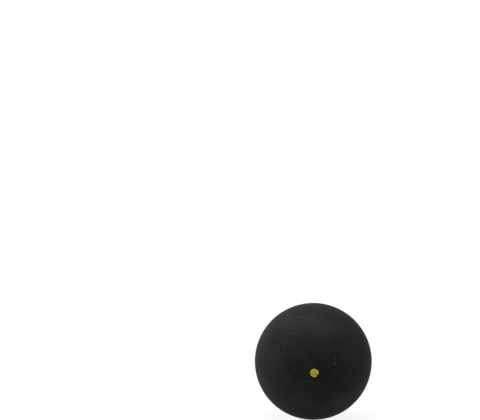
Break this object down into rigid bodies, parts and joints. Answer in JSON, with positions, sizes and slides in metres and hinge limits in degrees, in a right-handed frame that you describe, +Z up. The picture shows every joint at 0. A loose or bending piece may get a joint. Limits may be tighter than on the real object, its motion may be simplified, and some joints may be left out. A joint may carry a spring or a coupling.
{
  "type": "squash ball",
  "caption": "Hollow matt black rubber squash ball with a small yellow speed dot, made from moulded half shells cemented rim to rim.",
  "frame": {"origin": "centre of the ball, 20 mm above the surface that it rests on", "axes": "+Z up; +Y runs through the crowns of both half shells, from the dot to the plain side, so the dot faces -Y and the seam lies in the XZ plane"},
  "size_m": [0.04, 0.0401, 0.04],
  "materials": {
    "shell_rubber": "matte",
    "rubber_cement": "satin",
    "dot_ink": "satin"
  },
  "bodies": {
    "root": {"front_half_shell": "shell_rubber", "rear_half_shell": "shell_rubber", "seam_cement": "rubber_cement", "yellow_dot": "dot_ink"}
  },
  "joints": []
}
